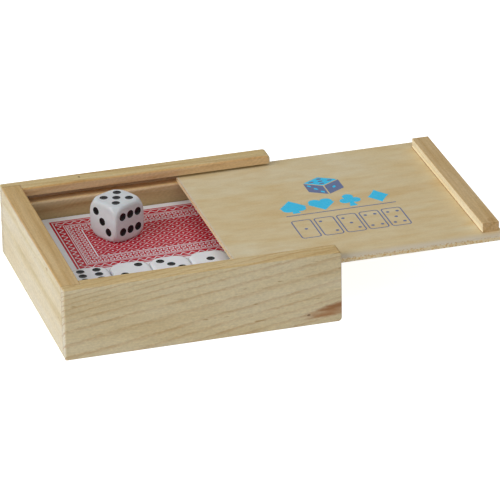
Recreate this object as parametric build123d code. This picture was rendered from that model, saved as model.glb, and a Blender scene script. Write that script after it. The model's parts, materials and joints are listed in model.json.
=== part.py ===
from build123d import *
from math import cos, radians, sin, sqrt
import os

# A sliding-lid box of pine for one pack of cards and five dice.
# X runs from the closed end (left) to the open end, Y from the front wall to the back wall, Z up.
# The origin is the centre of the underside. Millimetres.

# Box body, made round the pack of cards, the dice and the lid
wall_thickness = 7.6
end_wall_thickness = 7.9
rim_height = 3.55               # wall above the lid's groove
tongue_thickness = 3.6          # what the corner rabbet leaves of a long wall
arris_radius = 0.7              # sanding on the outer arrises of the box
open_end_arris_radius = 1.6     # the same across the ends of the walls at the open end
inner_arris_radius = 1.0        # inside of the long walls, where the lid is drawn out
end_inner_arris_radius = 0.5

# Base panel, let into a rabbet all round, flush with the underside
base_thickness = 4.0
base_lip = 3.6                  # wall left outside the panel

# Groove for the lid, in both long walls and in the closed end
groove_height = 3.25
groove_skin = 3.1               # wall left outside the groove
end_groove_depth = 3.5

# Lid
lid_thickness = 2.0
lid_floor_play = 0.1            # under the panel
lid_side_play = 0.3             # beside the panel, each side
lid_end_play = 0.4              # left in the end groove when the lid is shut
lid_overhang = 1.0              # panel beyond the batten's outer face
lid_opening = 68.0              # how far the lid stands open
lid_corner_radius = 2.0
batten_width = 7.0
batten_height = 4.0
batten_end_play = 0.5           # between the batten and each long wall
batten_arris_radius = 0.7

# Pack of cards
card_length = 88.0
card_width = 57.0
card_thickness = 0.215
card_corner_radius = 3.5
card_corner_flats = 3           # short flats that stand for each rounded corner
cards_per_suit = 13
deck_left_gap = 4.7             # closed end wall to pack
deck_right_gap = 3.9            # pack to low end wall
deck_back_gap = 0.5             # back wall to pack
card_stray = 0.2                # how far a card lies off the pack's true edge
stray_angle_x = 2.4             # radians from card to card, which share no pattern along X and Y
stray_angle_y = 1.7

# Dice
die_size = 16.0
die_edge_cut = 0.4              # what the round edges take off the cube's sharp edge
die_corner_cut = 2.25           # what the round corners take off the cube's sharp corner
pip_radius = 1.7
pip_depth = 0.45
pip_sides = 8                   # flats of each dished pip
pip_offset = 3.6                # corner pips of two to five, each way
six_row_offset = 3.3            # each row of the six from the middle
six_pip_pitch = 4.1             # along a row of the six
row_left_gap = 3.0              # closed end wall to first die
row_die_gap = 0.15
row_first_gap = 0.6             # between the first and the second die
row_deck_gap = 0.3              # pack to dice
front_channel = 15.6            # free space from the dice to the front wall, for fingers
die_lid_gap = 3.6               # dice in the row to the lid's groove
top_die_from_left = 28.4        # pack's left edge to the middle of the die
top_die_from_back = 22.5        # pack's back edge to the middle of the die
top_die_yaw = 27.7

# Sizes, heights and faces that several pieces share
box_length = 2 * end_wall_thickness + deck_left_gap + card_length + deck_right_gap
box_width = (2 * wall_thickness + deck_back_gap + card_width + card_stray + row_deck_gap
             + die_size + front_channel)
groove_floor = base_thickness + die_size + die_lid_gap
groove_top = groove_floor + groove_height
box_height = groove_top + rim_height
left_face = -box_length / 2
right_face = box_length / 2
front_face = -box_width / 2
front_inner = front_face + wall_thickness
back_inner = -front_inner
left_inner = left_face + end_wall_thickness
lid_underside = groove_floor + lid_floor_play
lid_top = lid_underside + lid_thickness
lid_left = left_inner - end_groove_depth + lid_end_play + lid_opening
lid_right = right_face + lid_overhang + lid_opening
lid_half_width = box_width / 2 - groove_skin - lid_side_play
deck_left = left_inner + deck_left_gap
deck_back = back_inner - deck_back_gap
deck_front = deck_back - card_width
card_count = 4 * cards_per_suit + 2
deck_top = base_thickness + card_count * card_thickness


def block(x0, x1, y0, y1, z0, z1):
    """Rectangular piece between two corners."""
    return Pos(x0, y0, z0) * Box(x1 - x0, y1 - y0, z1 - z0, align=(Align.MIN, Align.MIN, Align.MIN))


def lies_in(edge, axis, place, slack=0.001):
    """True where the whole edge lies in the plane that crosses the axis (0, 1, 2) at that place."""
    box = edge.bounding_box()
    low, high = tuple(box.min)[axis], tuple(box.max)[axis]
    return abs(low - place) < slack and abs(high - place) < slack


def outer_arrises(piece):
    """Edges where two outer faces of the assembled box meet."""
    faces = [(0, left_face), (0, right_face), (1, front_face), (1, -front_face), (2, 0), (2, box_height)]
    return [edge for edge in piece.edges()
            if sum(lies_in(edge, axis, place) for axis, place in faces) == 2]


def sanded(piece):
    """Rounds the outer arrises, more across the open end."""
    across_end = [edge for edge in outer_arrises(piece)
                  if lies_in(edge, 0, right_face) and not lies_in(edge, 1, front_face)]
    if across_end:
        piece = fillet(across_end, open_end_arris_radius)
    rest = outer_arrises(piece)
    return fillet(rest, arris_radius) if rest else piece


def inner_top_arris(piece, axis, place):
    """The long edge where the top meets the inside face at that place."""
    return [edge for edge in piece.edges() if lies_in(edge, axis, place) and lies_in(edge, 2, box_height)]


def front_wall():
    """Long wall: rabbeted for both ends and the base, grooved for the lid."""
    wall = block(left_face, right_face, front_face, front_inner, 0, box_height)
    tongue = front_face + tongue_thickness
    wall -= block(left_face, left_inner, tongue, front_inner, 0, box_height)
    wall -= block(right_face - end_wall_thickness, right_face, tongue, front_inner, 0, groove_floor)
    wall -= block(left_face + base_lip, right_face - base_lip, front_face + base_lip, front_inner,
                  0, base_thickness)
    wall -= block(left_inner - end_groove_depth, right_face, front_face + groove_skin, front_inner,
                  groove_floor, groove_top)
    return fillet(inner_top_arris(sanded(wall), 1, front_inner), inner_arris_radius)


def end_wall(height):
    """Wall between the long walls' tongues, rabbeted for the base, at the closed end."""
    half = box_width / 2 - tongue_thickness
    wall = block(left_face, left_inner, -half, half, 0, height)
    return wall - block(left_face + base_lip, left_inner, -half, half, 0, base_thickness)


def closed_end_wall():
    """Full-height end wall, with the groove that takes the lid's leading edge."""
    half = box_width / 2 - tongue_thickness
    wall = end_wall(box_height)
    wall -= block(left_inner - end_groove_depth, left_inner, -half, half, groove_floor, groove_top)
    return fillet(inner_top_arris(sanded(wall), 0, left_inner), end_inner_arris_radius)


def low_end_wall():
    """End wall that stops under the lid's path."""
    wall = sanded(mirror(end_wall(groove_floor), about=Plane.YZ))
    top = [edge for edge in wall.edges() if lies_in(edge, 0, right_face) and lies_in(edge, 2, groove_floor)]
    return fillet(top, end_inner_arris_radius)


def base_panel():
    """Plywood panel in the rabbets of all four walls."""
    half_length = box_length / 2 - base_lip
    half_width = box_width / 2 - base_lip
    return block(-half_length, half_length, -half_width, half_width, 0, base_thickness)


def lid_panel():
    """Plywood panel that runs in the grooves."""
    panel = block(lid_left, lid_right, -lid_half_width, lid_half_width, lid_underside, lid_top)
    return fillet(panel.edges().filter_by(Axis.Z), lid_corner_radius)


def lid_pull_batten():
    """Batten glued across the lid: the finger pull, which fills the gap over the low end wall."""
    outer = lid_right - lid_overhang
    half = back_inner - batten_end_play
    batten = block(outer - batten_width, outer, -half, half, lid_top, lid_top + batten_height)
    return fillet(batten.edges().group_by(Axis.Z)[-1], batten_arris_radius)


def card_outline():
    """Rectangle with rounded corners, each corner a few short flats on the true arc."""
    points = []
    for corner, (across, along) in enumerate([(1, 1), (-1, 1), (-1, -1), (1, -1)]):
        x = across * (card_length / 2 - card_corner_radius)
        y = along * (card_width / 2 - card_corner_radius)
        for flat in range(card_corner_flats + 1):
            angle = radians(90 * (corner + flat / card_corner_flats))
            points.append((x + card_corner_radius * cos(angle), y + card_corner_radius * sin(angle)))
    return make_face(Polyline(points, close=True))


def card(number):
    """One card at its height in the pack, counted from the bottom, a little off square."""
    x = deck_left + card_length / 2 + card_stray * sin(stray_angle_x * number)
    y = deck_front + card_width / 2 + card_stray * cos(stray_angle_y * number)
    return Pos(x, y, base_thickness + number * card_thickness) * extrude(card_outline(), card_thickness)


def card_group(first, count):
    """Neighbouring cards of one suit, each its own solid."""
    return Compound(children=[card(number) for number in range(first, first + count)])


def pip_places(value):
    """Pips of one face of a die, in the face's own plane."""
    if value == 6:
        return [(column * six_pip_pitch, row * six_row_offset) for column in (-1, 0, 1) for row in (-1, 1)]
    places = [(0, 0)] if value % 2 else []
    if value > 1:
        places += [(-pip_offset, pip_offset), (pip_offset, -pip_offset)]
    if value > 3:
        places += [(pip_offset, pip_offset), (-pip_offset, -pip_offset)]
    return places


def die():
    """Cube with round edges and corners and dished pips: five up, six to the front, three to the left."""
    half = die_size / 2
    pip = loft([RegularPolygon(pip_radius, pip_sides).face(), Vertex(0, 0, -pip_depth)])
    solid = Box(die_size, die_size, die_size) & Sphere(half * sqrt(3) - die_corner_cut)
    for turn in (Rot(0, 0, 0), Rot(90, 0, 0), Rot(0, 90, 0)):
        solid &= turn * Cylinder(half * sqrt(2) - die_edge_cut, 2 * die_size)
    faces = [(5, (1, 0, 0), (0, 0, 1)), (2, (1, 0, 0), (0, 0, -1)), (6, (1, 0, 0), (0, -1, 0)),
             (1, (-1, 0, 0), (0, 1, 0)), (3, (0, -1, 0), (-1, 0, 0)), (4, (0, 1, 0), (1, 0, 0))]
    for value, across, outward in faces:
        plane = Plane(origin=Vector(*outward) * half, x_dir=across, z_dir=outward)
        for x, y in pip_places(value):
            solid -= plane * Pos(x, y) * pip
    return solid


def row_die_x(place):
    """Middle of a die in the row, counted from the closed end."""
    first = left_inner + row_left_gap + die_size / 2
    if place == 0:
        return first
    return first + row_first_gap - row_die_gap + place * (die_size + row_die_gap)


def row_die(solid, place, turn):
    """Die standing on the base, in front of the pack."""
    y = deck_front - card_stray - row_deck_gap - die_size / 2
    return Pos(row_die_x(place), y, base_thickness + die_size / 2) * turn * solid


def die_on_deck(solid):
    """The die that stands askew on the pack."""
    x = deck_left + top_die_from_left
    y = deck_back - top_die_from_back
    return Pos(x, y, deck_top + die_size / 2) * Rot(0, 0, top_die_yaw) * solid


def build():
    front = front_wall()
    one_die = die()
    pieces = {
        "front_wall": front,
        "back_wall": mirror(front, about=Plane.XZ),
        "closed_end_wall": closed_end_wall(),
        "low_end_wall": low_end_wall(),
        "base_panel": base_panel(),
        "lid_panel": lid_panel(),
        "lid_pull_batten": lid_pull_batten(),
        "bottom_joker_card": card(0),
        "top_joker_card": card(card_count - 1),
        "die_on_deck": die_on_deck(one_die),
        "die_row_1": row_die(one_die, 0, Rot(0, 0, 90) * Rot(-90, 0, 0)),
        "die_row_2": row_die(one_die, 1, Rot(0, 0, 90) * Rot(180, 0, 0)),
        "die_row_3": row_die(one_die, 2, Rot(0, 0, 90) * Rot(0, 90, 0)),
        "die_row_4": row_die(one_die, 3, Rot(90, 0, 0)),
    }
    for place, suit in enumerate(("club", "diamond", "heart", "spade")):
        pieces[suit + "_cards"] = card_group(1 + place * cards_per_suit, cards_per_suit)
    return pieces


os.makedirs("parts", exist_ok=True)
for name, piece in build().items():
    export_step(piece, f"parts/{name}.step")
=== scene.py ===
import json
from math import cos, pi, radians, sin, sqrt

import bmesh
import bpy
from mathutils import Matrix, Vector


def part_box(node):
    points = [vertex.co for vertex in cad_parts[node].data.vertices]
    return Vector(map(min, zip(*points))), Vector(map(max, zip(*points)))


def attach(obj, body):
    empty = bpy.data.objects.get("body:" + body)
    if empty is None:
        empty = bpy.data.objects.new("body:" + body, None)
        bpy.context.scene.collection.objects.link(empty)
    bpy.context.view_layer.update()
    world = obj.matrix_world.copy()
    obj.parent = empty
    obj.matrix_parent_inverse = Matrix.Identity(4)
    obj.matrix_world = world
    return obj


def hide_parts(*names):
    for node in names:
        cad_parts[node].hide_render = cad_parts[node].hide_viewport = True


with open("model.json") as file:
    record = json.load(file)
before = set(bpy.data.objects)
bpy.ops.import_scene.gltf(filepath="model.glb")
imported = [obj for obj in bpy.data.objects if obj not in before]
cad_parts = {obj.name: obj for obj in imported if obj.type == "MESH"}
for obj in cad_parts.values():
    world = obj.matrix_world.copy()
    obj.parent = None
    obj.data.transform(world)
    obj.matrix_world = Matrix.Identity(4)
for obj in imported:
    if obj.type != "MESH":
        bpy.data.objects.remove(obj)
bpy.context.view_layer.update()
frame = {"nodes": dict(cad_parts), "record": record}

mm = 0.001
scene = bpy.context.scene

# Camera
# A long lens looks down on the box from its front left, a little rolled, as for a catalogue picture.
# Its aim is given as a point of the box and how far that point lies off the middle of the view.
camera_aim = Vector((0, -2.8, 14)) * mm
camera_azimuth = radians(-16.055)
camera_elevation = radians(25.243)
camera_roll = radians(-1.013)
aim_right_of_middle = -31.810 * mm
aim_above_middle = -2.813 * mm
camera_distance = 1747.98 * mm
camera_lens = 315.42
camera_sensor = 36


def put(name, data):
    """Puts an object with that data into the scene."""
    made = bpy.data.objects.new(name, data)
    scene.collection.objects.link(made)
    return made


level_right = Vector((cos(camera_azimuth), sin(camera_azimuth), 0))
forward = Vector((-sin(camera_azimuth) * cos(camera_elevation), cos(camera_azimuth) * cos(camera_elevation),
                  -sin(camera_elevation)))
level_up = level_right.cross(forward)
right = level_right * cos(camera_roll) + level_up * sin(camera_roll)
up = level_up * cos(camera_roll) - level_right * sin(camera_roll)
camera_at = camera_aim - right * aim_right_of_middle - up * aim_above_middle - forward * camera_distance
camera = put("camera", bpy.data.cameras.new("camera"))
camera.data.lens = camera_lens
camera.data.sensor_width = camera_sensor
camera.matrix_world = Matrix.Translation(camera_at) @ Matrix((right, up, -forward)).transposed().to_4x4()
scene.camera = camera
scene.view_settings.view_transform = "Standard"


# Studio
# A white table under a white sky, with one large soft lamp to the left and a weaker one overhead.
# The camera sees the table and the sky as white, and the table keeps the box's soft shadow.
def linear(hex_colour):
    """The linear colour that a socket takes, from an sRGB hex value."""
    channels = [int(hex_colour[i:i + 2], 16) / 255 for i in (1, 3, 5)]
    return [c / 12.92 if c <= 0.04045 else ((c + 0.055) / 1.055) ** 2.4 for c in channels] + [1]


def add(tree, kind, inputs=None, stops=None, **settings):
    """Adds a node. A socket takes a value, another node's output, or a node, which stands for the first of
    its outputs in use. A ramp takes its stops."""
    node = tree.nodes.new(kind)
    for name, value in settings.items():
        setattr(node, name, value)
    for key, value in (inputs or {}).items():
        if isinstance(value, bpy.types.Node):
            value = next(output for output in value.outputs if output.enabled)
        if isinstance(value, bpy.types.NodeSocket):
            tree.links.new(value, node.inputs[key])
        else:
            node.inputs[key].default_value = value
    if stops:
        ramp = node.color_ramp.elements
        while len(ramp) < len(stops):
            ramp.new(1)
        for element, (position, colour) in zip(ramp, stops):
            element.position = position
            element.color = linear(colour) if isinstance(colour, str) else (colour, colour, colour, 1)
    return node


def maths(tree, operation, *inputs):
    """Adds a node that works on numbers."""
    return add(tree, "ShaderNodeMath", dict(enumerate(inputs)), operation=operation)


def vectors(tree, operation, *inputs):
    """Adds a node that works on vectors, or scales one by a number."""
    keys = (0, "Scale") if operation == "SCALE" else (0, 1, 2)
    return add(tree, "ShaderNodeVectorMath", dict(zip(keys, inputs)), operation=operation)


def mapped(tree, value, spread=(0, 1), to=(0, 1)):
    """Adds a node that takes a value's spread to another, and clamps it there."""
    return add(tree, "ShaderNodeMapRange", {"Value": value, "From Min": spread[0], "From Max": spread[1],
                                            "To Min": to[0], "To Max": to[1]})


def empty_tree(owner):
    """The node tree of a material or of the world, cleared."""
    owner.use_nodes = True
    owner.node_tree.nodes.clear()
    return owner.node_tree


def seen_directly(tree):
    """1 for rays from the camera, a reflection or a clear material, and 0 for light that falls on things."""
    path = add(tree, "ShaderNodeLightPath").outputs
    either = maths(tree, "MAXIMUM", path["Is Camera Ray"], path["Is Glossy Ray"])
    return maths(tree, "MAXIMUM", either, path["Is Transmission Ray"])


def rectangle(left, front, right, back):
    """The corners of a rectangle, anticlockwise."""
    return [(left, front), (right, front), (right, back), (left, back)]


sky_light = 0.41
table_lift = 0.87               # white that the camera sees on top of the light that falls on the table
table_half = 3.0
table_drop = 0.05 * mm          # keeps the table clear of the box's underside

scene.world = bpy.data.worlds.new("white sky")
tree = empty_tree(scene.world)
strength = mapped(tree, seen_directly(tree), to=(sky_light, 1.0))
background = add(tree, "ShaderNodeBackground", {"Strength": strength})
add(tree, "ShaderNodeOutputWorld", {"Surface": background})

table_paint = bpy.data.materials.new("matt white table")
tree = empty_tree(table_paint)
lift = maths(tree, "MULTIPLY", seen_directly(tree), table_lift)
glow = add(tree, "ShaderNodeEmission", {"Strength": lift})
paint = add(tree, "ShaderNodeBsdfDiffuse", {"Color": linear("#f4f4f4")})
both = add(tree, "ShaderNodeAddShader", {0: paint, 1: glow})
add(tree, "ShaderNodeOutputMaterial", {"Surface": both})

table_mesh = bpy.data.meshes.new("table")
table_corners = rectangle(-table_half, -table_half, table_half, table_half)
table_mesh.from_pydata([(x, y, -table_drop) for x, y in table_corners], [], [(0, 1, 2, 3)])
table_mesh.materials.append(table_paint)
table = put("table", table_mesh)

for name, watts, size, spot in (("left softbox", 20.0, 1.4, (-1.62, -0.45, 0.95)),
                                ("overhead softbox", 5.0, 1.6, (0.4, -0.7, 1.9))):
    lamp = put(name, bpy.data.lights.new(name, "AREA"))
    lamp.data.energy = watts
    lamp.data.shape = "SQUARE"
    lamp.data.size = size
    lamp.location = spot
    lamp.rotation_euler = (-Vector(spot)).to_track_quat("-Z", "Y").to_euler()


# Box walls
# Four boards of sanded, unfinished pine, sawn and rabbeted, glued at the corners.
# The long boards are cut beside the heart, so their rings run out as slanting lines. The ends are cut flat.
def material(name):
    """An empty material, its node tree and its texture coordinates."""
    made = bpy.data.materials.new(name)
    tree = empty_tree(made)
    return made, tree, add(tree, "ShaderNodeTexCoord").outputs


def finish(tree, colour, texture, roughness, bump, sockets=None, spread=(0.0, 1.0), height=None):
    """The surface shader. The texture takes the roughness from its first value to its second, over the
    texture's spread. The bump is as deep as that length and follows the height, or else the texture."""
    rough = mapped(tree, texture, spread, roughness)
    relief = add(tree, "ShaderNodeBump", {"Height": texture if height is None else height, "Distance": bump})
    inputs = {"Base Color": colour, "Roughness": rough, "Normal": relief}
    shader = add(tree, "ShaderNodeBsdfPrincipled", {**inputs, **(sockets or {})})
    add(tree, "ShaderNodeOutputMaterial", {"Surface": shader})


def grain_noise(tree, board, **fields):
    """Noise drawn out along a board. Each field gives the length along the grain and the width across it
    of its lumps, its detail and how rough the detail is."""
    noise = {}
    for field, (length, width, detail, roughness) in fields.items():
        lumps = add(tree, "ShaderNodeMapping", {"Vector": board,
                                                "Scale": (1 / length, 1 / width, 1 / width)})
        noise[field] = add(tree, "ShaderNodeTexNoise", {"Vector": lumps, "Scale": 1.0, "Detail": detail,
                                                        "Roughness": roughness})
    return noise


def dress(node, surface):
    """Gives a solid its material."""
    solid = frame["nodes"][node]
    solid.data.materials.clear()
    solid.data.materials.append(surface)


bare_wood = {"IOR": 1.45, "Specular IOR Level": 0.25}
wall_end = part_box("closed_end_wall")[1].y / mm
inner_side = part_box("back_wall")[0].y / mm
groove_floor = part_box("low_end_wall")[1].z / mm
groove_band = 4                 # millimetres that the groove's ramps reach below and above its floor
groove_top = 3.2                # where the groove ends, above its floor
rim_foot = 3.36                 # where the shade of the rim over it begins


def growth_rings(tree, board, noise, heart, slope, ring_width):
    """Where the grain takes each point of a board, and how much of a ring's late wood lies there. The grain
    wanders slowly along the board, its lines are a little ragged, and lean years lie closer together than
    good ones. All is in millimetres but the years' swing, a share."""
    wander_reach, ragged_reach = 2.2, 0.9
    year_cycle, year_swing, good_year = 40, 0.5, 50
    centred = vectors(tree, "SUBTRACT", noise["wander"].outputs["Color"], (0.5,) * 3)
    moved = vectors(tree, "MULTIPLY_ADD", centred, (wander_reach,) * 3, board)
    from_heart = vectors(tree, "SUBTRACT", moved, heart)
    log = add(tree, "ShaderNodeMapping", {"Vector": from_heart, "Rotation": slope})
    across_log = vectors(tree, "MULTIPLY", log, (0, 1, 1))
    radius = vectors(tree, "LENGTH", across_log)
    year_angle = maths(tree, "MULTIPLY_ADD", radius, 2 * pi / year_cycle, -2 * pi * good_year / year_cycle)
    year = maths(tree, "SINE", year_angle)
    grown = maths(tree, "MULTIPLY_ADD", year, -year_swing * year_cycle / (2 * pi), radius)
    uneven = maths(tree, "MULTIPLY_ADD", noise["ragged"], ragged_reach, grown)
    count = maths(tree, "DIVIDE", uneven, ring_width)
    share = maths(tree, "FRACT", count)
    late_wood = add(tree, "ShaderNodeValToRGB", {"Fac": share},
                    stops=[(0, 0.0), (0.56, 0.0), (0.82, 1.0), (0.88, 0.85), (0.97, 0.0)])
    return moved, late_wood


def above_floor(*stops):
    """Stops of a ramp up a wall, from millimetres above the groove's floor."""
    return [(0.5 + height / (2 * groove_band), shade) for height, shade in stops]


def inner_face(tree, moved, groove_height, patches, inside):
    """Tint of the faces that look into the box: browner than the rest and greyer below the groove, with
    slanting marks from the saw. The groove and its lip stay untinted and paler: painted light."""
    saw_turns = (-2.6, 0, 3.2)      # radians of a saw mark's swing per millimetre along, across and up
    # The groove and its lip are left white here, so they stay paler: painted light.
    inner = add(tree, "ShaderNodeValToRGB", {"Fac": groove_height},
                stops=above_floor((-2.88, inside[0]), (-0.48, "#ffffff"), (groove_top, "#ffffff"),
                                  (rim_foot, inside[1])))
    saw_phase = vectors(tree, "DOT_PRODUCT", moved, saw_turns)
    saw_swing = maths(tree, "SINE", saw_phase)
    saw_depth = mapped(tree, patches, (0.45, 0.65), (0, 0.07))
    saw_mark = maths(tree, "MULTIPLY_ADD", saw_swing, saw_depth, 1.0)
    return vectors(tree, "SCALE", inner, saw_mark)


def mark_covers(tree, moved, noise, patchy, slope, marks):
    """How far each knot or streak covers the wood, with its colour. Its edge is ragged, and it comes and
    goes with the rings."""
    covers = []
    for middle, reach, shade, strength in marks:
        near = vectors(tree, "SUBTRACT", moved, middle)
        turned = add(tree, "ShaderNodeMapping", {"Vector": near, "Rotation": slope})
        shares = vectors(tree, "DIVIDE", turned, reach)
        distance = vectors(tree, "LENGTH", shares)
        frayed = maths(tree, "MULTIPLY_ADD", noise["ragged"], 0.5, distance)
        cover = mapped(tree, frayed, (1.3, 0.95), (0, strength))
        streaked = maths(tree, "MULTIPLY", cover, patchy)
        covers.append((streaked, shade))
    return covers


def pine(name, along, heart, rise, ring_width, pale, late, crown, inside=("#d9ccb8", "#ffead8"),
         end="#e2dbca", marks=(), glued_at=None, grooved_at=None):
    """Sanded pine, matt and dry: pale spring wood, thin brown rings, fine fibres and a few resin specks.
    The rings go round the tree's heart, a point in millimetres along, across and up the board, which rises
    along it by that angle. Crown tints the top, inside the faces that look into the box below and above the
    groove, and end is the colour of the end grain. Marks are knots and streaks: middle, reach, colour and
    strength. Glued at is how far from the board's middle its ends are glued, and grooved at how far from
    the box's middle its grooved face lies."""
    made, tree, coordinates = material(name)
    turn = (0, 0, -pi / 2) if along == "Y" else (0, 0, 0)
    slope = (0, radians(rise), 0)
    board = add(tree, "ShaderNodeMapping", {"Vector": coordinates["Object"], "Rotation": turn,
                                            "Scale": (1 / mm,) * 3})
    at = add(tree, "ShaderNodeSeparateXYZ", {0: board}).outputs
    noise = grain_noise(tree, board, wander=(60, 18, 2, 0.5), ragged=(2.5, 0.8, 2, 0.5),
                        patches=(12, 2, 3, 0.5), fibres=(12, 0.4, 3, 0.6), veins=(50, 1.4, 2, 0.5),
                        pores=(1.1, 0.65, 1, 0.5), clouds=(50, 9, 2, 0.5), specks=(4.5, 0.8, 0, 0.5))
    moved, late_wood = growth_rings(tree, board, noise, heart, slope, ring_width)

    # Which kind of face it is: end grain, the sanded top, or one that looks into the box. From an inner face
    # the way out of the board leads back to the box's middle, which lies over 30 mm away.
    normal = add(tree, "ShaderNodeMapping", {"Vector": coordinates["Normal"], "Rotation": turn})
    facing = add(tree, "ShaderNodeSeparateXYZ", {0: normal}).outputs
    lengthwise = maths(tree, "ABSOLUTE", facing["X"])
    end_grain = mapped(tree, lengthwise, (0.5, 0.8))
    crowned = mapped(tree, facing["Z"], (0.1, 0.5))
    on_plan = vectors(tree, "MULTIPLY", coordinates["Object"], (1 / mm, 1 / mm, 0))
    outward = vectors(tree, "DOT_PRODUCT", on_plan, coordinates["Normal"])
    inward = mapped(tree, outward, (-10, -30))

    # The rings come and go in patches along the board, and show sharp and strong on end grain.
    patchy = mapped(tree, noise["patches"], (0.35, 0.65), (0.4, 1))
    shown = add(tree, "ShaderNodeMix", {0: end_grain, 2: patchy, 3: 1.6})
    sharpness = mapped(tree, end_grain, to=(1.0, 3.0))
    line = maths(tree, "POWER", late_wood, sharpness)
    ringed = maths(tree, "MULTIPLY", line, shown)
    darker = [line / wood for line, wood in zip(linear(late), linear(pale))]

    # Fibres are a few tenths of a millimetre wide, and veins over a millimetre. Pores are drawn as coarse as
    # they need to show.
    fibre_tone = mapped(tree, noise["fibres"], (0.3, 0.7), (0.93, 1.05))
    vein_depth = mapped(tree, crowned, to=(0.2, 1))
    vein = mapped(tree, noise["veins"], (0.68, 0.32), (0, vein_depth))
    pore = maths(tree, "SUBTRACT", noise["pores"], 0.5)
    pore_depth = mapped(tree, end_grain, to=(0.30, 0.6))
    pore_tone = maths(tree, "MULTIPLY_ADD", pore, pore_depth, 1.0)
    cloud_tone = add(tree, "ShaderNodeValToRGB", {"Fac": noise["clouds"]},
                     stops=[(0.32, "#f6efe0"), (0.5, "#fdfaf2"), (0.68, "#ffffff")])

    # The faces that look into the box change with the height. The lip just under the groove is paler: a
    # painted highlight. The groove itself is paler: painted light.
    groove_height = mapped(tree, at["Z"], (groove_floor - groove_band, groove_floor + groove_band))
    sawn = inner_face(tree, moved, groove_height, noise["patches"], inside)
    painted_groove_light = add(tree, "ShaderNodeValToRGB", {"Fac": groove_height},
                      stops=above_floor((-1.12, 0.0), (-0.48, 1.0), (0, 1.0), (0.24, 0.58),
                                        (groove_top, 0.58), (rim_foot, 0.0)))
    in_box = maths(tree, "MAXIMUM", inward, crowned)
    painted_light_in_box = maths(tree, "MULTIPLY", painted_groove_light, in_box)
    painted_light_tone = maths(tree, "MULTIPLY_ADD", painted_light_in_box, 0.4, 1.0)
    tones = [cloud_tone, fibre_tone, pore_tone, painted_light_tone]
    tints_with_painted_shade = [(ringed, darker), (vein, linear("#f0e7d7")), (crowned, linear(crown)), (inward, sawn)]

    # Painted shade darkens the long walls' grooves, all but their lips.
    if grooved_at:
        lip, shade_from = 0.3, 1.1
        off_centre = maths(tree, "ABSOLUTE", at["Y"])
        deep = mapped(tree, off_centre, (grooved_at + lip, grooved_at + shade_from))
        groove = add(tree, "ShaderNodeValToRGB", {"Fac": groove_height},
                     stops=above_floor((-0.16, 0.0), (-0.08, 1.0), (groove_top, 1.0), (rim_foot, 0.0)))
        painted_groove_shade = maths(tree, "MULTIPLY", deep, groove)
        painted_groove_shade_in_box = maths(tree, "MULTIPLY", painted_groove_shade, in_box)
        tints_with_painted_shade.append((painted_groove_shade_in_box, linear("#e1d4da")))

    colour = add(tree, "ShaderNodeMix", {0: end_grain, 6: linear(pale), 7: linear(end)}, data_type="RGBA")
    for cover, tint in tints_with_painted_shade:
        tones.append(add(tree, "ShaderNodeMix", {0: cover, 6: (1, 1, 1, 1), 7: tint}, data_type="RGBA",
                         clamp_factor=False))
    for tone in tones:
        colour = vectors(tree, "MULTIPLY", colour, tone)

    # Resin canals show as short yellow-brown dashes, few of them, drawn as coarse as they need to show.
    speck = mapped(tree, noise["specks"], (0.80, 0.88), (0, 0.6))
    spots = [(speck, "#a37c42")] + mark_covers(tree, moved, noise, patchy, slope, marks)

    # The glue line shows brown where a board meets the next, and is drawn about twice as wide as it is.
    if glued_at:
        glue_width = 0.5
        off_middle = maths(tree, "ABSOLUTE", at["X"])
        glue = mapped(tree, off_middle, (glued_at - glue_width, glued_at - glue_width / 2), (0, 0.48))
        spots.append((glue, "#83602f"))
    for cover, shade in spots:
        colour = add(tree, "ShaderNodeMix", {0: cover, 6: colour, 7: linear(shade)}, data_type="RGBA")

    height = maths(tree, "MULTIPLY_ADD", ringed, 0.25, noise["fibres"])
    finish(tree, colour, noise["fibres"], (0.6, 0.8), 0.02 * mm, bare_wood, height=height)
    return made


heart_streak = ((60, -52, 6.6), (22, 8, 2.9), "#b4875f", 1.1)
streak_edge = ((57, -52, 7.4), (13, 6, 1.2), "#94633f", 0.5)
streak_tip = ((42.6, -52, 4.5), (0.9, 3, 0.5), "#55391f", 0.9)
pin_knot = ((-26, 56, 27.2), (1.9, 8, 0.7), "#b08d4f", 0.8)
rim_speck = ((-23.6, 48.9, 30.4), (0.5, 0.9, 2), "#6b5233", 0.9)
outer_vein = ((0, 55.9, 30.4), (62, 0.7, 1.5), "#a97c42", 0.45)
inner_vein = ((0, 51.0, 30.4), (62, 2.2, 2), "#a9824b", 0.3)
dress("front_wall", pine(
    "sanded pine, front board", "X", heart=(0, -82, -25), rise=8.5, ring_width=2.3, pale="#e4d7b7",
    late="#d3bb96", crown="#fff6e3", marks=(heart_streak, streak_edge, streak_tip), grooved_at=inner_side))
dress("back_wall", pine(
    "sanded pine, back board", "X", heart=(0, 78, -20), rise=3.5, ring_width=3.1, pale="#e4d7b6",
    late="#d2bb94", crown="#fff7e3", marks=(rim_speck,), grooved_at=inner_side))
dress("closed_end_wall", pine(
    "sanded pine, closed end", "Y", heart=(0, 80, -40), rise=-0.7, ring_width=12.0, pale="#e8dec7",
    late="#ddd1ae", crown="#f9e6c6", marks=(pin_knot, outer_vein, inner_vein), glued_at=wall_end))
dress("low_end_wall", pine(
    "sanded pine, open end", "Y", heart=(0, -78, -30), rise=-3, ring_width=3.4, pale="#e6daba",
    late="#cdb892", crown="#fffce6", glued_at=wall_end))


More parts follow.
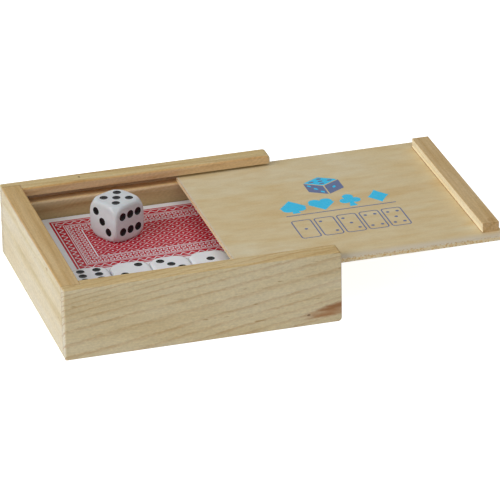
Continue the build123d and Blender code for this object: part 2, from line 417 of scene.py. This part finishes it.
# Base and lid
# Three-ply boards of pale veneer: the base is glued into rabbets, the lid runs loose in the grooves.
# The middle ply runs across, so the edges show its speckled end grain between two pale plies.
def plywood(name, low, high, face_tone):
    """Sanded plywood: peeled veneer with faint contour lines, a close grain, and plies at the edges."""
    made, tree, coordinates = material(name)
    board = add(tree, "ShaderNodeMapping", {"Vector": coordinates["Object"], "Scale": (1 / mm,) * 3})
    noise = grain_noise(tree, board, mottle=(9, 4, 3, 0.5), fibres=(8, 0.5, 3, 0.5),
                        pores=(0.8, 0.8, 2, 0.5))
    contour_layers = 7.0
    left_scuff, front_scuff = 0.9, 5
    skewed = add(tree, "ShaderNodeMapping", {"Vector": board, "Rotation": (0, 0, radians(4)),
                                             "Scale": (1 / 120, 1 / 30, 1 / 30)})
    broad = add(tree, "ShaderNodeTexNoise", {"Vector": skewed, "Scale": 1.0, "Detail": 1.5,
                                             "Distortion": 0.8})
    face = add(tree, "ShaderNodeValToRGB", {"Fac": broad},
               stops=[(0.30, "#e2ca9c"), (0.47, face_tone), (0.58, face_tone), (0.72, "#eadfc0")])
    peeled = maths(tree, "MULTIPLY", broad, contour_layers)
    layer = maths(tree, "FRACT", peeled)
    contour = add(tree, "ShaderNodeValToRGB", {"Fac": layer},
                  stops=[(0, "#fffefb"), (0.45, "#ffffff"), (0.86, "#fdf9f2"), (1, "#fffefb")])
    mottled = add(tree, "ShaderNodeValToRGB", {"Fac": noise["mottle"]},
                  stops=[(0.33, "#f8f2e6"), (0.65, "#ffffff")])
    fibre_tone = mapped(tree, noise["fibres"], (0.3, 0.7), (0.975, 1.015))
    pore_tone = mapped(tree, noise["pores"], (0.3, 0.7), (0.97, 1.03))
    for tone in (contour, mottled, fibre_tone, pore_tone):
        face = vectors(tree, "MULTIPLY", face, tone)

    # The front margin is scuffed pale, and so is a narrow line along the left edge.
    from_corner = vectors(tree, "SUBTRACT", board, low / mm)
    margins = vectors(tree, "MULTIPLY", from_corner, (1 / left_scuff, 1 / front_scuff, 1))
    margin = add(tree, "ShaderNodeSeparateXYZ", {0: margins}).outputs
    nearer = maths(tree, "MINIMUM", margin["X"], margin["Y"])
    scuffed = mapped(tree, nearer, (1.0, 0.3), (0, 0.6))
    face = add(tree, "ShaderNodeMix", {0: scuffed, 6: face, 7: linear("#ddd5c6")}, data_type="RGBA")

    # The edge: pale, speckled end grain, pale.
    at = add(tree, "ShaderNodeSeparateXYZ", {0: board}).outputs
    level = mapped(tree, at["Z"], (low.z / mm, high.z / mm))
    plies = add(tree, "ShaderNodeValToRGB", {"Fac": level},
                stops=[(0, "#efe3c4"), (0.25, "#efe3c4"), (0.33, "#efdbb2"), (0.66, "#f0dcb4"),
                       (0.74, "#e9ddc6")])
    pore_tint = add(tree, "ShaderNodeValToRGB", {"Fac": noise["pores"]},
                    stops=[(0.34, "#ecd3ab"), (0.50, "#fbf6ee"), (0.62, "#ffffff")])
    edge = vectors(tree, "MULTIPLY", plies, pore_tint)
    facing = add(tree, "ShaderNodeSeparateXYZ", {0: coordinates["Normal"]}).outputs
    upright = maths(tree, "ABSOLUTE", facing["Z"])
    is_face = maths(tree, "GREATER_THAN", upright, 0.7)
    colour = add(tree, "ShaderNodeMix", {0: is_face, 6: edge, 7: face}, data_type="RGBA")
    finish(tree, colour, noise["fibres"], (0.55, 0.7), 0.01 * mm, bare_wood)
    return made


for node, tone in (("base_panel", "#dccaa0"), ("lid_panel", "#e7d5ac")):
    dress(node, plywood(f"sanded plywood, {node}", *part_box(node), tone))


# Pull batten
# A strip of pine glued across the lid at its outer end, with its grain along the strip.
# A little glue was squeezed out along its foot and dried brown.
batten_arris = 0.25 * mm
glue_bead = 0.18 * mm
batten_low, batten_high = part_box("lid_pull_batten")
resin_spot = ((batten_low.y / mm + 2.2, -batten_high.x / mm + 2.6, batten_high.z / mm), (2.4, 1.8, 1.5),
              "#a97a44", 0.5)
batten_wood = pine("sanded pine, batten", "Y", heart=(0, -150, -10), rise=1, ring_width=2.8, pale="#fff4d8",
                   late="#f6e8c5", crown="#dfcfb8", inside=("#ffffff", "#ffffff"), end="#d9bc91",
                   marks=(resin_spot,))


def add_prism(shape, points, bottom, top):
    """Adds an upright plate with that outline to a mesh in the making."""
    lower = [shape.verts.new((x, y, bottom)) for x, y in points]
    upper = [shape.verts.new((x, y, top)) for x, y in points]
    shape.faces.new(upper)
    shape.faces.new(lower[::-1])
    for i in range(len(points)):
        j = (i + 1) % len(points)
        shape.faces.new((lower[i], lower[j], upper[j], upper[i]))


def piece(name, shape, surface, body):
    """Closes a mesh in the making and makes it a piece of the object."""
    bmesh.ops.recalc_face_normals(shape, faces=shape.faces)
    mesh = bpy.data.meshes.new(name)
    shape.to_mesh(mesh)
    shape.free()
    mesh.materials.append(surface)
    made = put(name, mesh)
    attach(made, body)
    return made


dried_glue, tree, coordinates = material("dried wood glue")
lumps = add(tree, "ShaderNodeTexNoise", {"Vector": coordinates["Object"], "Scale": 1 / (2 * mm)})
brown = add(tree, "ShaderNodeValToRGB", {"Fac": lumps}, stops=[(0.35, "#9a6e42"), (0.65, "#c29a68")])
finish(tree, brown, lumps, (0.35, 0.6), 0.03 * mm)

strip = bmesh.new()
add_prism(strip, rectangle(batten_low.x, batten_low.y, batten_high.x, batten_high.y),
          batten_low.z, batten_high.z)
arrises = [edge for edge in strip.edges if any(v.co.z > batten_low.z for v in edge.verts)]
bmesh.ops.bevel(strip, geom=arrises, offset=batten_arris, segments=2, profile=0.5, affect="EDGES")
batten = piece("pine_batten", strip, batten_wood, "lid")
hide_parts("lid_pull_batten")
glue_line = bmesh.new()
add_prism(glue_line, rectangle(batten_low.x - glue_bead, batten_low.y, batten_low.x, batten_high.y),
          batten_low.z, batten_low.z + glue_bead)
piece("batten_glue_line", glue_line, dried_glue, "lid")


# Print on the lid
# One pass of blue ink and one of slate, printed on the bare veneer in the middle of the lid.
# The design is a plain one for any box of its kind: a die, the four suits, a rule and five cards in outline.
ink_thickness = 0.03 * mm
ink_sink = 0.01 * mm
overprint = 0.01 * mm           # ink that lies on ink
cube_edge = 8.9 * mm
cube_rise = 19.0 * mm           # the die's near corner above the lid's middle
cube_gap = 0.04                 # bare veneer left along each edge, as shares of the edge, like the pips
cube_pip_radius = 0.1
cube_pip_offset = 0.25
suit_width = 10.0 * mm
suit_pitch = 12.0 * mm
suit_rise = 2.6 * mm
rule_length = 46 * mm
rule_width = 0.55 * mm
rule_rise = -5.2 * mm
outline_width = 8.4 * mm        # cards in outline
outline_height = 17.0 * mm
outline_pitch = 9.4 * mm
outline_rise = -18.6 * mm
outline_corner = 1.5 * mm
outline_line = 0.5 * mm
spot_radius = 0.7 * mm
spot_offset = (2.0 * mm, 5.0 * mm)

lid_low, lid_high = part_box("lid_panel")
print_x = (lid_low.x + lid_high.x) / 2
ink_bottom = lid_high.z - ink_sink
ink_top = lid_high.z + ink_thickness


def circle_reach(angle, x, y, radius):
    """How far a ray from the origin runs to the far side of a circle, or 0 where it misses."""
    along = x * cos(angle) + y * sin(angle)
    under_root = radius ** 2 - (x * sin(angle) - y * cos(angle)) ** 2
    return max(0.0, along + sqrt(under_root)) if under_root > 0 else 0.0


def foot_reach(angle):
    """The same for the flat-ended foot of a spade or a club, which opens downwards."""
    half_width, length = radians(17), 0.60
    off = abs((angle + pi / 2 + pi) % (2 * pi) - pi)
    return length / cos(off) if off < half_width else 0.0


def heart_reach(angle):
    """Two round lobes over a point, within a width of 1. The point's straight sides end at the lobes."""
    lobe_x, lobe_y, lobe_radius = 0.235, 0.16, 0.265
    point_depth, side_slope, sides_end = 0.62, 1.16, 0.1
    lobes = max(circle_reach(angle, side * lobe_x, lobe_y, lobe_radius) for side in (-1, 1))
    if sin(angle) >= sides_end:
        return lobes
    return max(lobes, point_depth / (abs(cos(angle)) * side_slope - sin(angle)))


def spade_reach(angle):
    """The heart upside down, on a foot."""
    return max(heart_reach(-angle), foot_reach(angle))


def club_reach(angle):
    """Three balls on a foot, joined by a small core."""
    ball_radius, spread_x, spread_y, rise, core = 0.225, 0.235, 0.255, 0.05, 0.08
    balls = max(circle_reach(angle, spread_x * cos(radians(turn)), rise + spread_y * sin(radians(turn)),
                             ball_radius) for turn in (90, 205, 335))
    return max(balls, foot_reach(angle), core)


def diamond_reach(angle):
    """Four points joined by slightly hollow sides."""
    half_width, half_height, hollow = 0.44, 0.60, 0.92
    across = abs(cos(angle) / half_width) ** hollow
    upward = abs(sin(angle) / half_height) ** hollow
    return (across + upward) ** (-1 / hollow)


def polar(reach, x, y, scale, count=96):
    """Points of an outline that is given as a reach for each angle."""
    angles = [2 * pi * i / count for i in range(count)]
    return [(x + scale * reach(a) * cos(a), y + scale * reach(a) * sin(a)) for a in angles]


def disc(x, y, radius):
    """Points of a small circle."""
    return polar(lambda angle: 1, x, y, radius, 24)


def rounded_box(x, y, half_x, half_y, corner, steps=5):
    """Points of a rectangle with round corners."""
    points = []
    for quarter in range(4):
        cx = x + (half_x - corner) * (1, -1, -1, 1)[quarter]
        cy = y + (half_y - corner) * (1, 1, -1, -1)[quarter]
        for step in range(steps + 1):
            angle = pi / 2 * (quarter + step / steps)
            points.append((cx + corner * cos(angle), cy + corner * sin(angle)))
    return points


def add_frame(shape, outer, inner, bottom, top):
    """Adds a flat frame between two outlines with as many points."""
    rings = [[shape.verts.new((x, y, z)) for x, y in line]
             for line, z in ((outer, top), (inner, top), (inner, bottom), (outer, bottom))]
    for a, b in zip(rings, rings[1:] + rings[:1]):
        for i in range(len(outer)):
            j = (i + 1) % len(outer)
            shape.faces.new((a[i], a[j], b[j], b[i]))


def pip_grid(value):
    """Places of the pips of one to six, in steps from the middle of the face."""
    places = [(0, 0)] if value % 2 else []
    if value > 1:
        places += [(-1, 1), (1, -1)]
    if value > 3:
        places += [(1, 1), (-1, -1)]
    if value == 6:
        places += [(-1, 0), (1, 0)]
    return places


def on_rhomb(shares, first, second):
    """Points of one side of the printed die, from shares of the two edges that leave its near corner."""
    return [(print_x + cube_edge * (u * first[0] + v * second[0]),
             cube_rise + cube_edge * (u * first[1] + v * second[1])) for u, v in shares]


def ink(name, colour):
    """Matt printing ink, thin enough for the grain of the veneer to break it up a little."""
    made, tree, coordinates = material(name)
    fibres = grain_noise(tree, coordinates["Object"], fibres=(4 * mm, 0.4 * mm, 2, 0.5))["fibres"]
    tone = mapped(tree, fibres, (0.3, 0.7), (0.9, 1.06))
    shade = vectors(tree, "SCALE", linear(colour)[:3], tone)
    finish(tree, shade, fibres, (0.4, 0.6), 0.005 * mm)
    return made


# The die stands corner on, as three rhombs that share its near corner.
blue_print, slate_print = bmesh.new(), bmesh.new()
to_left, to_right, down = (-cos(pi / 6), sin(pi / 6)), (cos(pi / 6), sin(pi / 6)), (0, -1)
for value, first, second, print_over, pips_over in ((5, to_left, to_right, blue_print, slate_print),
                                                    (3, to_left, down, slate_print, blue_print),
                                                    (1, to_right, down, slate_print, blue_print)):
    side = rectangle(cube_gap, cube_gap, 1 - cube_gap, 1 - cube_gap)
    add_prism(print_over, on_rhomb(side, first, second), ink_bottom, ink_top)
    for across, along in pip_grid(value):
        pip = disc(0.5 + across * cube_pip_offset, 0.5 + along * cube_pip_offset, cube_pip_radius)
        add_prism(pips_over, on_rhomb(pip, first, second), ink_bottom, ink_top + overprint)

for number, reach in enumerate((spade_reach, heart_reach, club_reach, diamond_reach)):
    add_prism(blue_print, polar(reach, print_x + (number - 1.5) * suit_pitch, suit_rise, suit_width),
              ink_bottom, ink_top)

rule = rectangle(print_x - rule_length / 2, rule_rise - rule_width / 2,
                 print_x + rule_length / 2, rule_rise + rule_width / 2)
add_prism(slate_print, rule, ink_bottom, ink_top)
for value in range(1, 6):
    x = print_x + (value - 3) * outline_pitch
    outer = rounded_box(x, outline_rise, outline_width / 2, outline_height / 2, outline_corner)
    inner = rounded_box(x, outline_rise, outline_width / 2 - outline_line, outline_height / 2 - outline_line,
                        outline_corner - outline_line)
    add_frame(slate_print, outer, inner, ink_bottom, ink_top)
    for across, along in pip_grid(value):
        spot = disc(x + across * spot_offset[0], outline_rise + along * spot_offset[1], spot_radius)
        add_prism(slate_print, spot, ink_bottom, ink_top)
piece("blue_print", blue_print, ink("blue printing ink", "#1ccfff"), "lid")
piece("slate_print", slate_print, ink("slate printing ink", "#5f6f9c"), "lid")


# Pack of cards
# Fifty-four cards of coated board, backs up. Only the top one shows its print: a red ground with a white
# border, ruled lines, a wave, two rows of rings and a panel of white lattice, cut a little off centre.
card_low, card_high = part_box("top_joker_card")
card_middle = (card_low + card_high) / 2
card_half = (card_high - card_low) / 2
card_thickness = card_high.z - card_low.z
card_corner = 3.5 * mm
print_shift = 1.0 * mm          # how far the print lies behind the card's middle

stock, tree, coordinates = material("coated card stock, cut edges")
at = add(tree, "ShaderNodeSeparateXYZ", {0: coordinates["Object"]}).outputs
card_number = maths(tree, "DIVIDE", at["Z"], card_thickness)
share = maths(tree, "FRACT", card_number)
# The grey at the top and bottom of each card is painted shade in the gaps between the cards.
edge = add(tree, "ShaderNodeValToRGB", {"Fac": share},
           stops=[(0, "#a9a7a8"), (0.2, "#e4e3e4"), (0.8, "#e4e3e4"), (1, "#a9a7a8")])
fluff = add(tree, "ShaderNodeTexNoise", {"Vector": coordinates["Object"], "Scale": 1 / (1.5 * mm)})
tone = mapped(tree, fluff, to=(0.9, 1.08))
shade = vectors(tree, "SCALE", edge, tone)
finish(tree, shade, fluff, (0.5, 0.7), 0.01 * mm)
for node in frame["record"]["behaviour"]["bodies"]["card_pack"]:
    dress(node, stock)


def printed_back():
    """Gloss-coated card back. All its lines are worked out from how far a point lies inside the card's
    edge, in millimetres."""
    made, tree, coordinates = material("coated card, printed back")
    print_middle = card_middle + Vector((0, print_shift, 0))
    centred = vectors(tree, "SUBTRACT", coordinates["Object"], print_middle)
    card = vectors(tree, "SCALE", centred, 1 / mm)
    mirrored = vectors(tree, "ABSOLUTE", card)
    inside = vectors(tree, "SUBTRACT", card_half / mm, mirrored)
    depth = add(tree, "ShaderNodeSeparateXYZ", {0: inside}).outputs
    inset = maths(tree, "MINIMUM", depth["X"], depth["Y"])
    at = add(tree, "ShaderNodeSeparateXYZ", {0: card}).outputs
    on_end = maths(tree, "LESS_THAN", depth["X"], depth["Y"])
    along = add(tree, "ShaderNodeMix", {0: on_end, 2: at["X"], 3: at["Y"]})

    # A white wave runs round the panel.
    wave_pitch, wave_reach, wave_line, wave_middle = 3.6, 0.85, 0.28, 7.3
    phase = maths(tree, "MULTIPLY", along, 2 * pi / wave_pitch)
    swing = maths(tree, "SINE", phase)
    crest = maths(tree, "MULTIPLY_ADD", swing, wave_reach, wave_middle)
    wave = maths(tree, "COMPARE", inset, crest, wave_line)

    # Two rows of white rings run inside it.
    ring_pitch, ring_radius, ring_line, rings_from = 2.5, 0.85, 0.19, 9.95
    step = maths(tree, "DIVIDE", along, ring_pitch)
    step_part = maths(tree, "FRACT", step)
    row = maths(tree, "MULTIPLY_ADD", inset, 1 / ring_pitch, -rings_from / ring_pitch)
    row_part = maths(tree, "FRACT", row)
    parts = add(tree, "ShaderNodeCombineXYZ", {0: step_part, 1: row_part, 2: 0.5})
    from_ring = vectors(tree, "SUBTRACT", parts, (0.5, 0.5, 0.5))
    far = vectors(tree, "LENGTH", from_ring)
    ringed = maths(tree, "COMPARE", far, ring_radius / ring_pitch, ring_line / ring_pitch)

    def cells(pitch, turn):
        """How far a point lies from the middle of its cell, in a square net of that pitch."""
        net = add(tree, "ShaderNodeMapping", {"Vector": card, "Rotation": (0, 0, turn),
                                              "Scale": (1 / pitch, 1 / pitch, 0)})
        part = vectors(tree, "FRACTION", net)
        middle = vectors(tree, "SUBTRACT", part, (0.5, 0.5, 0))
        return vectors(tree, "ABSOLUTE", middle)

    # Panel of lattice, with a small diamond in each cell. Its line and diamond are shares of the cell.
    lattice_pitch, line_from, diamond_to = 3.4, 0.474, 0.108
    sides = add(tree, "ShaderNodeSeparateXYZ", {0: cells(lattice_pitch, pi / 4)}).outputs
    reach = maths(tree, "MAXIMUM", sides["X"], sides["Y"])
    lines = maths(tree, "GREATER_THAN", reach, line_from)
    bits = maths(tree, "LESS_THAN", reach, diamond_to)
    latticed = maths(tree, "MAXIMUM", lines, bits)

    # Rulings by the distance from the card's edge, in millimetres: white border, lines and the three fields.
    deepest = 20
    inset_share = maths(tree, "DIVIDE", inset, deepest)
    white = add(tree, "ShaderNodeValToRGB", {"Fac": inset_share},
                stops=[(stop / deepest, level) for stop, level in
                       ((0, 1), (4.3, 0), (5.2, 1), (5.6, 0), (9.0, 1), (9.3, 0), (9.8, 1), (10.1, 0),
                        (15.1, 1), (15.7, 0))])
    fields = add(tree, "ShaderNodeValToRGB", {"Fac": inset_share},
                 stops=[(stop / deepest, field) for stop, field in
                        ((0, "#000000"), (6.0, "#ff0000"), (9.0, "#000000"), (10.3, "#00ff00"),
                         (14.9, "#000000"), (16.0, "#0000ff"))])
    for ramp in (white, fields):
        ramp.color_ramp.interpolation = "CONSTANT"
    field = add(tree, "ShaderNodeSeparateColor", {0: fields}).outputs
    for motif, channel in ((wave, "Red"), (ringed, "Green"), (latticed, "Blue")):
        shown = maths(tree, "MULTIPLY", motif, field[channel])
        white = maths(tree, "MAXIMUM", white, shown)

    # Only the upper face is printed. The ink is a little uneven, on a linen finish.
    clouds_per_mm, linen_pitch = 0.12, 0.5
    facing = add(tree, "ShaderNodeSeparateXYZ", {0: coordinates["Normal"]}).outputs
    not_up = maths(tree, "LESS_THAN", facing["Z"], 0.5)
    white = maths(tree, "MAXIMUM", white, not_up)
    cloud = add(tree, "ShaderNodeTexNoise", {"Vector": card, "Scale": clouds_per_mm, "Detail": 2.0})
    tone = mapped(tree, cloud, to=(0.9, 1.1))
    inked = add(tree, "ShaderNodeMix", {0: white, 6: linear("#c61a32"), 7: linear("#f5f7fb")},
                data_type="RGBA")
    colour = vectors(tree, "SCALE", inked, tone)
    weave = vectors(tree, "LENGTH", cells(linen_pitch, 0))
    finish(tree, colour, cloud, (0.28, 0.4), 0.004 * mm, {"IOR": 1.47, "Specular IOR Level": 0.16},
           height=weave)
    return made


top_card = bmesh.new()
add_prism(top_card, rounded_box(card_middle.x, card_middle.y, card_half.x, card_half.y, card_corner, 8),
          card_low.z, card_high.z)
top_card = piece("top_card_with_print", top_card, printed_back(), "card_pack")
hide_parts("top_joker_card")


# Dice
# Five white dice, moulded in acrylic and tumbled until their edges and corners are round.
# Each pip is a shallow dish, drilled and filled with gloss black paint.
# The die on the cards is painted greyer than the others: painted shade and a painted dark reflection.
die_half = 8 * mm
die_ball = 11.61 * mm           # what is left at the corners, from the middle
die_edge = 10.91 * mm           # the same at the edges
die_blend = 0.9 * mm            # how softly one form runs into the next
die_steps = 44                  # squares across each side
die_crease = radians(26)        # edges sharper than this, as at the pips, shade hard
die_askew = radians(27.7)       # how far the die on the cards is turned
pip_radius = 1.7 * mm
pip_depth = 0.45 * mm
pip_facets = 48
pip_offset = 3.6 * mm
six_row_offset = 3.3 * mm
six_pip_pitch = 4.1 * mm

# Each side has its value and its directions across, up and out.
die_sides = [(value, Vector(across), Vector(outward).cross(Vector(across)), Vector(outward))
             for value, across, outward in ((5, (1, 0, 0), (0, 0, 1)), (2, (1, 0, 0), (0, 0, -1)),
                                            (6, (1, 0, 0), (0, -1, 0)), (1, (-1, 0, 0), (0, 1, 0)),
                                            (3, (0, -1, 0), (-1, 0, 0)), (4, (0, 1, 0), (1, 0, 0)))]


def die_pips(value):
    """Places of one side's pips."""
    if value == 6:
        return [(column * six_pip_pitch, row * six_row_offset) for column in (-1, 0, 1) for row in (-1, 1)]
    return [(across * pip_offset, along * pip_offset) for across, along in pip_grid(value)]


def lesser(first, second):
    """The lesser of two lengths, with a soft change from one to the other."""
    overlap = max(die_blend - abs(first - second), 0)
    return min(first, second) - overlap ** 2 / (4 * die_blend)


def tumbled_cube():
    """A cube with worn edges and corners: in each direction the least of cube, edge rounds and ball."""
    shape = bmesh.new()
    for _, across, upward, outward in die_sides:
        grid = []
        for i in range(die_steps + 1):
            for j in range(die_steps + 1):
                u, v = (2 * i / die_steps - 1), (2 * j / die_steps - 1)
                ray = (outward + across * u + upward * v).normalized()
                reach = lesser(die_half / max(abs(c) for c in ray), die_ball)
                for c in ray:
                    reach = lesser(reach, die_edge / sqrt(1 - c * c) if abs(c) < 1 else die_ball)
                grid.append(shape.verts.new(ray * reach))
        row = die_steps + 1
        for i in range(die_steps):
            for j in range(die_steps):
                a = i * row + j
                shape.faces.new((grid[a], grid[a + row], grid[a + row + 1], grid[a + 1]))
    bmesh.ops.remove_doubles(shape, verts=shape.verts, dist=0.001 * mm)
    bmesh.ops.recalc_face_normals(shape, faces=shape.faces)
    mesh = bpy.data.meshes.new("tumbled cube")
    shape.to_mesh(mesh)
    shape.free()
    return mesh


def acrylic(name, dark, light):
    """Cloudy acrylic, glossy but finely scuffed, that lets a little light in."""
    made, tree, coordinates = material(name)
    haze = add(tree, "ShaderNodeTexNoise", {"Vector": coordinates["Object"], "Scale": 1 / (5 * mm)})
    cloudy = add(tree, "ShaderNodeValToRGB", {"Fac": haze}, stops=[(0.3, dark), (0.7, light)])
    scuffs = add(tree, "ShaderNodeTexNoise", {"Vector": coordinates["Object"], "Scale": 1 / (0.7 * mm),
                                              "Detail": 3.0})
    finish(tree, cloudy, scuffs, (0.10, 0.22), 0.002 * mm,
           {"IOR": 1.49, "Specular IOR Level": 0.5, "Subsurface Weight": 0.08, "Subsurface Scale": 1.2 * mm},
           spread=(0.3, 0.7))
    return made


white_acrylic = acrylic("white acrylic, tumbled", "#eeeff3", "#f4f5f8")
# The greyer acrylic of the die on the cards is painted shade and a painted dark reflection.
painted_shade_acrylic = acrylic("greyer acrylic, tumbled", "#d5d9dd", "#dfe2e5")

pip_paint, tree, coordinates = material("gloss black pip paint")
dust = add(tree, "ShaderNodeTexNoise", {"Vector": coordinates["Object"], "Scale": 1 / (0.4 * mm)})
black = add(tree, "ShaderNodeValToRGB", {"Fac": dust}, stops=[(0.35, "#0f0f11"), (0.75, "#222225")])
finish(tree, black, dust, (0.12, 0.34), 0.01 * mm, {"IOR": 1.5, "Specular IOR Level": 0.22})

# The drill's round end, set at each pip by a node tree that turns it square to the side.
drill_end = (pip_radius ** 2 + pip_depth ** 2) / (2 * pip_depth)
drill = bpy.data.node_groups.new("pip drill", "GeometryNodeTree")
drill.is_modifier = True
drill.interface.new_socket("Pip middles", in_out="INPUT", socket_type="NodeSocketGeometry")
end_radius = drill.interface.new_socket("Drill end radius", in_out="INPUT", socket_type="NodeSocketFloat")
facets = drill.interface.new_socket("Drill facets", in_out="INPUT", socket_type="NodeSocketInt")
drill.interface.new_socket("Drill ends", in_out="OUTPUT", socket_type="NodeSocketGeometry")
given = add(drill, "NodeGroupInput").outputs
square_out = add(drill, "GeometryNodeInputNamedAttribute", {"Name": "outward"}, data_type="FLOAT_VECTOR")
facing_out = add(drill, "FunctionNodeAlignRotationToVector", {"Vector": square_out}, axis="Z")
ball_rings = maths(drill, "DIVIDE", given["Drill facets"], 2.0)
ball = add(drill, "GeometryNodeMeshUVSphere", {"Segments": given["Drill facets"], "Rings": ball_rings,
                                               "Radius": given["Drill end radius"]})
ends = add(drill, "GeometryNodeInstanceOnPoints", {"Points": given["Pip middles"], "Instance": ball,
                                                   "Rotation": facing_out})
solid_ends = add(drill, "GeometryNodeRealizeInstances", {0: ends})
painted = add(drill, "GeometryNodeSetMaterial", {"Geometry": solid_ends, "Material": pip_paint})
add(drill, "NodeGroupOutput", {0: painted})

pip_middles, outwards = [], []
for value, across, upward, outward in die_sides:
    for x, y in die_pips(value):
        pip_middles.append(outward * (die_half - pip_depth + drill_end) + across * x + upward * y)
        outwards.extend(outward)
pips_mesh = bpy.data.meshes.new("pip middles")
pips_mesh.from_pydata(pip_middles, [], [])
pips_mesh.attributes.new("outward", "FLOAT_VECTOR", "POINT").data.foreach_set("vector", outwards)
pips = put("pip middles", pips_mesh)
drilled = pips.modifiers.new("drill", "NODES")
drilled.node_group = drill
drilled[end_radius.identifier] = drill_end
drilled[facets.identifier] = pip_facets

blank = put("die blank", tumbled_cube())
blank.data.materials.append(white_acrylic)
pip_cut = blank.modifiers.new("pips", "BOOLEAN")
pip_cut.operation = "DIFFERENCE"
pip_cut.solver = "EXACT"
pip_cut.material_mode = "TRANSFER"
pip_cut.object = pips
bpy.context.view_layer.update()
evaluated = blank.evaluated_get(bpy.context.evaluated_depsgraph_get())
die_mesh = bpy.data.meshes.new_from_object(evaluated)
for helper in (blank, pips):
    bpy.data.objects.remove(helper)
die_mesh.shade_smooth()
die_mesh.set_sharp_from_angle(angle=die_crease)

quarter = radians(90)
turns = {
    "die_on_deck": Matrix.Rotation(die_askew, 4, "Z"),
    "die_row_1": Matrix.Rotation(quarter, 4, "Z") @ Matrix.Rotation(-quarter, 4, "X"),
    "die_row_2": Matrix.Rotation(quarter, 4, "Z") @ Matrix.Rotation(2 * quarter, 4, "X"),
    "die_row_3": Matrix.Rotation(quarter, 4, "Z") @ Matrix.Rotation(quarter, 4, "Y"),
    "die_row_4": Matrix.Rotation(quarter, 4, "X"),
}
for node, turn in turns.items():
    low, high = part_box(node)
    mesh = die_mesh.copy()
    mesh.transform(Matrix.Translation((low + high) / 2) @ turn)
    if node == "die_on_deck":
        mesh.materials[mesh.materials.find(white_acrylic.name)] = painted_shade_acrylic
    die = put("white_" + node, mesh)
    body = next(b for b, nodes in frame["record"]["behaviour"]["bodies"].items() if node in nodes)
    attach(die, body)
    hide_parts(node)
